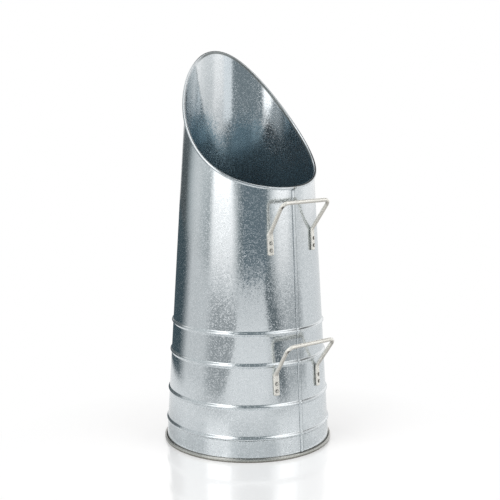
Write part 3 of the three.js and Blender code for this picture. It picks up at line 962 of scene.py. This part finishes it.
def wall_place(n, place):
    """Sockets for x, y, z and the distance from the wall's axis, in metres, and for 1 on the
    wall's inside."""
    x, y, z = n.parts(n.vector("SUBTRACT", place, (0, AXIS_Y / 1000, 0)))
    reach = n.root_of_squares(x, y)
    middle = n.minus((FLOOR_RADIUS - HALF) / 1000, n.times(z, TAPER))
    return x, y, z, reach, n.math("LESS_THAN", reach, middle)


def inside_painted_shade(n, place, cloud, grain):
    """How much painted shade lies on the wall's inside, from 0 to 1, to darken it deep down: it
    ends at a level which rises and falls here and there, in a speckled edge."""
    x, _, z, _, inside = wall_place(n, place)
    uneven = n.plus(n.times(n.minus(cloud, 0.5), SHADE_LEVEL_CLOUD / 1000),
                    n.times(n.minus(grain, 0.5), SHADE_LEVEL_SPECKLE / 1000))
    stops = [((at / WAVE_REACH + 1) / 2, [(high / WAVE_HIGH + 1) / 2] * 3)
             for at, high in SHADE_LEVEL_WAVES]
    level_wave = n.remap(n.ramp(n.fade(x, -WAVE_REACH, WAVE_REACH), stops),
                   0.0, 1.0, -WAVE_HIGH / 1000, WAVE_HIGH / 1000)
    level = n.minus(n.plus(z, uneven), level_wave)
    return n.times(inside, n.fade(level, *INSIDE_SHADE_EDGE))


def rim_bend_shade(n, place):
    """How much painted shade the wall's inside gets where it bends out into the rim, from 0 to 1:
    in the bend of the lip and of the right-hand side. Its height follows rim_top."""
    x, y, z, reach, inside = wall_place(n, place)
    slope, scoop = MOUTH_SLOPE / 1000, MOUTH_SCOOP / 1000
    sine, cosine = math.sin(MOUTH_TURN), math.cos(MOUTH_TURN)
    across = n.over(n.minus(n.times(y, cosine), n.times(x, sine)), reach)
    beside = n.over(n.plus(n.times(x, cosine), n.times(y, sine)), reach)
    edge = n.plus(n.times(n.plus(n.times(across, scoop), slope), across),
                  (MOUTH_SIDE - ROLL_RADIUS) / 1000)
    climb = n.over(n.times(beside, n.plus(n.times(across, 2 * scoop), slope)), reach)
    below = n.over(n.minus(edge, z), n.root_of_squares(climb, 1.0))
    return n.times(n.times(inside, n.fade(below, *RIM_SHADE_EDGE)), n.fade(x, *RIM_SHADE_SIDE))


def zinc_wire(name):
    """Dull, warm zinc on drawn wire, with fine drawing marks, a few darker scuffs, a crease
    inside the bar's left bend and painted shade on its undersides."""
    n = new_material(name)
    place = n.place()
    marks = n.noise(place, *WIRE_MARKS)
    patches = n.remap(n.noise(place, *WIRE_PATCHES), *WIRE_PATCH_RANGE)
    colour = n.mix(patches, WIRE_DULL, WIRE_PALE)
    scuffs = n.remap(n.noise(place, *WIRE_SCUFFS), *WIRE_SCUFF_RANGE)
    colour = n.mix(scuffs, colour, WIRE_SCUFFED)
    # Painted shade: the wire is darker where it faces down
    upward = n.parts(n.add("ShaderNodeNewGeometry").outputs["Normal"])["Z"]
    colour = n.mix(n.remap(upward, *WIRE_UNDERSIDE_RANGE), colour, WIRE_UNDERSIDE_SHADE)
    for foot_z in HANDLES.values():
        crease = (bar_end(foot_z) + CREASE + (0, AXIS_Y, 0)) / 1000
        away = n.distance(place, tuple(crease))
        colour = n.mix(n.fade(away, *CREASE_EDGE), colour, MARK_AND_RIVET_SHADE)
    rough = n.remap(marks, *NOISE_RANGE, *WIRE_ROUGH)
    return n.metal(colour, WIRE_METALLIC, rough, n.bump(marks, *WIRE_BUMP))


def steel_rivet(name):
    """Rivet metal, a shade darker than the wire, with painted shade round the edge of its
    head."""
    n = new_material(name)
    patches = n.noise(n.place(), *RIVET_PATCHES)
    colour = n.mix(n.remap(patches, *RIVET_PATCH_RANGE), RIVET_DULL, RIVET_PALE)
    # Painted shade, darker out towards the head's edge and round it
    colour = n.mix(n.remap(n.attribute("edge"), *RIVET_EDGE_SHADE), colour, MARK_AND_RIVET_SHADE)
    rough = n.remap(patches, *NOISE_RANGE, *RIVET_ROUGH)
    return n.metal(colour, RIVET_METALLIC, rough, n.bump(patches, *RIVET_BUMP))


# Studio

def soft(value, start, full):
    """From 0 at start to 1 at full, with soft ends."""
    return smooth((value - start) / (full - start))


def between(value, low, high, soft_low, soft_high):
    """1 between low and high, fading to 0 towards each over its soft width."""
    return smooth((value - low) / soft_low) * smooth((high - value) / soft_high)


def ring_point(radius, angle, height):
    """A point round the Z axis, at an angle from the X axis."""
    return radius * math.cos(angle), radius * math.sin(angle), height


def stage_mesh(name, points, faces, material):
    mesh = bpy.data.meshes.new(name)
    mesh.from_pydata([tuple(p) for p in points], [], faces)
    mesh.materials.append(material)
    thing = add_object(name, mesh)
    return thing


def set_up_card(card):
    """Turns a card's X axis from the object to the camera, and its Y axis to the camera's right.
    The card shows in metal, and neither lights nor hides anything."""
    card.rotation_euler.z = CAMERA_TURN - math.pi / 2
    card.location.y = AXIS_Y / 1000
    card.visible_camera = False
    card.visible_diffuse = False
    card.visible_shadow = False
    card.visible_transmission = False
    card.visible_volume_scatter = False


def dome_share(degrees):
    """The radial gradient's value at a turn from the camera's direction."""
    return degrees / 360 + 0.5


def dome_material():
    n = new_material("screen")
    place = n.place()
    turn = n.add("ShaderNodeTexGradient", {"Vector": place}, gradient_type="RADIAL").outputs["Fac"]

    def panels(screen):
        stops = []
        for degrees, shade in screen:
            tint = DOME_DEEP + (DOME_PALE - DOME_DEEP) * min(1.0, shade)
            stops.append((dome_share(degrees), tint * shade / DOME_STRENGTH))
        return n.ramp(turn, stops)

    x, y, z = n.parts(place)
    behind = n.times(n.times(n.remap(z, *BEHIND_HEIGHT), n.remap(x, *BEHIND_DEPTH)),
                     n.remap(y, *BEHIND_SIDE))
    strength = n.times(n.remap(z, DOME_BOTTOM, DOME_FOOT, DOME_FOOT_LIGHT, 1.0),
                       n.remap(behind, 0.0, 1.0, DOME_STRENGTH, BEHIND_STRENGTH))
    colour = n.mix(n.remap(z, *PANEL_CHANGE), panels(LOW_PANELS), panels(HIGH_PANELS))
    pale = n.times(n.remap(z, *PALE_HEIGHT), n.remap(turn, *map(dome_share, PALE_TURN)))
    colour = n.mix(pale, colour, DOME_PALE / DOME_STRENGTH)
    return n.surface(n.glow(colour, strength))


def studio_dome():
    """A wide dome round the set, whose panels show as upright bands in the metal."""
    points, faces = [], []
    for k in range(DOME_ROWS + 1):
        lift = math.pi / 2 * k / (DOME_ROWS + DOME_HOLE)
        radius = DOME_RADIUS * math.cos(lift)
        height = DOME_BOTTOM + DOME_HEIGHT * math.sin(lift)
        points += [ring_point(radius, 2 * math.pi * i / DOME_SIDES, height)
                   for i in range(DOME_SIDES)]
    for k in range(DOME_ROWS):
        for i in range(DOME_SIDES):
            a, b = k * DOME_SIDES + i, k * DOME_SIDES + (i + 1) % DOME_SIDES
            faces.append((a, b, b + DOME_SIDES, a + DOME_SIDES))
    set_up_card(stage_mesh("studio_screen", points, faces, dome_material()))


def floor_shade(x, y):
    """How dark the studio's floor is, from 0 to 1: it is pale round the object and in a strip
    towards the camera. x points to the camera and y to the camera's right, in metres."""
    reach = math.hypot(x, y)
    turn = math.degrees(math.atan2(y, x))
    close = soft(reach, *CLOSE_REACH)
    wide = (1 - close) * max(soft(reach, *WIDE_REACH), soft(abs(turn), *WIDE_TURN))
    wing = soft(reach, *WING_REACH) * soft(abs(turn), *WING_TURN) * soft(abs(turn), *WING_END)
    wing *= WING_SHADE + WING_CLOSE * close + WING_NEAR * soft(reach, *WING_NEAR_REACH)
    base = BASE_SHADE + CLOSE_SHADE * close + WIDE_SHADE * wide + wing

    side = SIDE_SHADE * soft(turn, *SIDE_TURN)
    near_left, far_left = LEFT_SHADES
    start, spread = LEFT_LINE
    left = near_left + (far_left - near_left) * soft(reach, *LEFT_REACH)
    left *= smooth((-y - start - spread * x) / LEFT_SOFT) * soft(turn, *LEFT_TURN)
    beside = (y - min(start + spread * x for start, spread in RIGHT_LINES)) / reach
    loss = RIGHT_LOSS + RIGHT_FAR_LOSS * soft(reach, *RIGHT_REACH)
    right = RIGHT_SHADE - loss * soft(beside, *RIGHT_INNER)
    right *= soft(beside, *RIGHT_EDGE) * soft(turn, *RIGHT_TURN)
    away = soft(reach, *AWAY_REACH)
    back = soft(turn, *BACK_TURN) * soft(reach, *BACK_REACH)
    return max(base, away * side, away * left, away * right, back)


def reflected_card(name, points, shades, colour):
    """A card of CARD_ROWS rows of points, which shows in the metal alone, from its front. A
    point's shade, from 0 to 1, is how solid the card is there."""
    n = new_material(name)
    behind = n.add("ShaderNodeNewGeometry").outputs["Backfacing"]
    shown = n.times(n.attribute("shade"), n.minus(1.0, behind))
    clear = n.add("ShaderNodeBsdfTransparent").outputs[0]
    material = n.surface(n.blend(shown, clear, n.glow((*colour, 1), 1.0)))
    sides = len(points) // (CARD_ROWS + 1)
    faces = []
    for k in range(CARD_ROWS):
        for i in range(sides - 1):
            a = k * sides + i
            faces.append((a, a + sides, a + sides + 1, a + 1))
    card = stage_mesh(name, points, faces, material)
    set_attribute(card, "shade", shades)
    set_up_card(card)


def dark_floor():
    """The floor as the metal shows it, in rows that widen outwards and end at the dome's foot."""
    points = []
    for k in range(CARD_ROWS + 1):
        radius = FLOOR_START * (DOME_RADIUS / FLOOR_START) ** (k / CARD_ROWS)
        height = FLOOR_LIFT + DOME_BOTTOM * soft(radius / DOME_RADIUS, *FLOOR_EDGE)
        points += [ring_point(radius, 2 * math.pi * i / DOME_SIDES, height)
                   for i in range(DOME_SIDES + 1)]
    shades = [floor_shade(x, y) for x, y, _ in points]
    reflected_card("dark_floor", points, shades, FLOOR_DARK)


def dark_front():
    """The dark side of the studio round the camera, whose lower edge stands over the pale floor."""
    points, shades = [], []
    for k in range(CARD_ROWS + 1):
        height = FRONT_BOTTOM + (FRONT_TOP - FRONT_BOTTOM) * k / CARD_ROWS
        for turn in range(FRONT_LEFT, FRONT_RIGHT + 1):
            points.append(ring_point(FRONT_RADIUS, math.radians(turn), height))
            shades.append(between(turn, FRONT_LEFT, FRONT_RIGHT, FRONT_SOFT_LEFT,
                                  FRONT_SOFT_RIGHT))
    reflected_card("dark_front", points, shades, FRONT_DARK)


def mouth_card(name, left, right, low, high, colour):
    """A small card close to the mouth, between two turns and two heights, with soft edges. Only
    the inside of the lip shows it."""
    points, shades = [], []
    for k in range(CARD_ROWS + 1):
        height = low + (high - low) * k / CARD_ROWS
        level = between(height, low, high, MOUTH_SOFT_HEIGHT, MOUTH_SOFT_HEIGHT)
        for i in range(MOUTH_SIDES + 1):
            turn = left + (right - left) * i / MOUTH_SIDES
            points.append(ring_point(MOUTH_RADIUS, math.radians(turn), height))
            shades.append(level * between(turn, left, right, MOUTH_SOFT_TURN, MOUTH_SOFT_TURN))
    reflected_card(name, points, shades, colour)


def floor():
    """Shiny white paper round the object, which runs out into plain white."""
    n = new_material("floor")
    path = n.add("ShaderNodeLightPath").outputs
    paper = n.add("ShaderNodeBsdfPrincipled", {
        "Base Color": PAPER, "Roughness": PAPER_ROUGH, "IOR": PAPER_IOR}).outputs[0]
    seen = n.math("MAXIMUM", path["Is Camera Ray"], path["Is Glossy Ray"])
    lift = n.glow(WHITE, n.times(seen, PAPER_GLOW))
    near = n.add("ShaderNodeAddShader", {0: paper, 1: lift}).outputs[0]
    front = (PAPER_FRONT * math.sin(CAMERA_TURN), -PAPER_FRONT * math.cos(CAMERA_TURN), 0)
    reach = n.distance(n.place(), front)
    material = n.surface(n.blend(n.remap(reach, *PAPER_EDGE), near, n.glow(WHITE, 1.0)))
    points = [ring_point(PAPER_RADIUS, 2 * math.pi * i / PAPER_SIDES, 0)
              for i in range(PAPER_SIDES)]
    stage_mesh("floor", points, [tuple(range(PAPER_SIDES))], material)


def world():
    """White to the eye and in the metal, and less bright as a light."""
    sky = bpy.data.worlds.new("studio")
    bpy.context.scene.world = sky
    n = Nodes(sky)
    path = n.add("ShaderNodeLightPath").outputs
    shown = n.math("MAXIMUM", path["Is Camera Ray"], path["Is Glossy Ray"])
    shown = n.math("MAXIMUM", shown, path["Is Transmission Ray"])
    strength = n.remap(shown, 0.0, 1.0, SKY_LIGHT, 1.0)
    back = n.add("ShaderNodeBackground", {"Color": WHITE, "Strength": strength})
    n.add("ShaderNodeOutputWorld", {"Surface": back.outputs[0]})


def look(thing, aim):
    """Turns a camera or lamp towards a direction."""
    thing.rotation_euler = aim.to_track_quat("-Z", "Y").to_euler()


def lamp(name, turn, distance, height, size, power):
    """A soft square lamp at an angle from the camera's direction, aimed at the object."""
    data = bpy.data.lights.new(name, "AREA")
    data.shape = "SQUARE"
    data.size = size
    data.energy = power
    thing = add_object(name, data)
    angle = CAMERA_TURN + math.radians(turn)
    thing.location = (distance * math.sin(angle), -distance * math.cos(angle), height)
    look(thing, LAMP_AIM - thing.location)
    thing.visible_glossy = False


def camera():
    data = bpy.data.cameras.new("camera")
    data.lens = LENS
    data.sensor_width = SENSOR
    thing = add_object("camera", data)
    thing.location = (CAMERA_DISTANCE * math.sin(CAMERA_TURN),
                      AXIS_Y / 1000 - CAMERA_DISTANCE * math.cos(CAMERA_TURN), CAMERA_HEIGHT)
    heading = CAMERA_TURN - CAMERA_YAW
    look(thing, Vector((-math.sin(heading) * math.cos(CAMERA_PITCH),
                        math.cos(heading) * math.cos(CAMERA_PITCH), -math.sin(CAMERA_PITCH))))
    bpy.context.scene.camera = thing


camera()
world()
floor()
studio_dome()
dark_floor()
dark_front()
mouth_card("mouth_dark", left=-36, right=37, low=0.405, high=0.6, colour=(0.205, 0.245, 0.265))
mouth_card("mouth_pale", left=32, right=58, low=0.405, high=0.6, colour=(0.93, 0.96, 0.98))
mouth_card("mouth_bright", left=-56, right=-33.5, low=0.427, high=0.487, colour=(1.7, 1.7, 1.7))
lamp("key", turn=-45, distance=1.4, height=1.9, size=1.0, power=20)
lamp("fill", turn=60, distance=1.5, height=1.7, size=1.2, power=13)

SHEET_METAL = galvanised("galvanised_sheet")
WIRE = zinc_wire("zinc_wire")
RIVET = steel_rivet("steel_rivet")
body_shell(SHEET_METAL)
bottom_disc(SHEET_METAL)
rim_wire(WIRE)
for node, foot_z in HANDLES.items():
    handle(node, foot_z, WIRE)
for node, foot_z in HANDLES.items():
    rivets(node, foot_z, RIVET)

bpy.context.scene.view_settings.view_transform = "Standard"
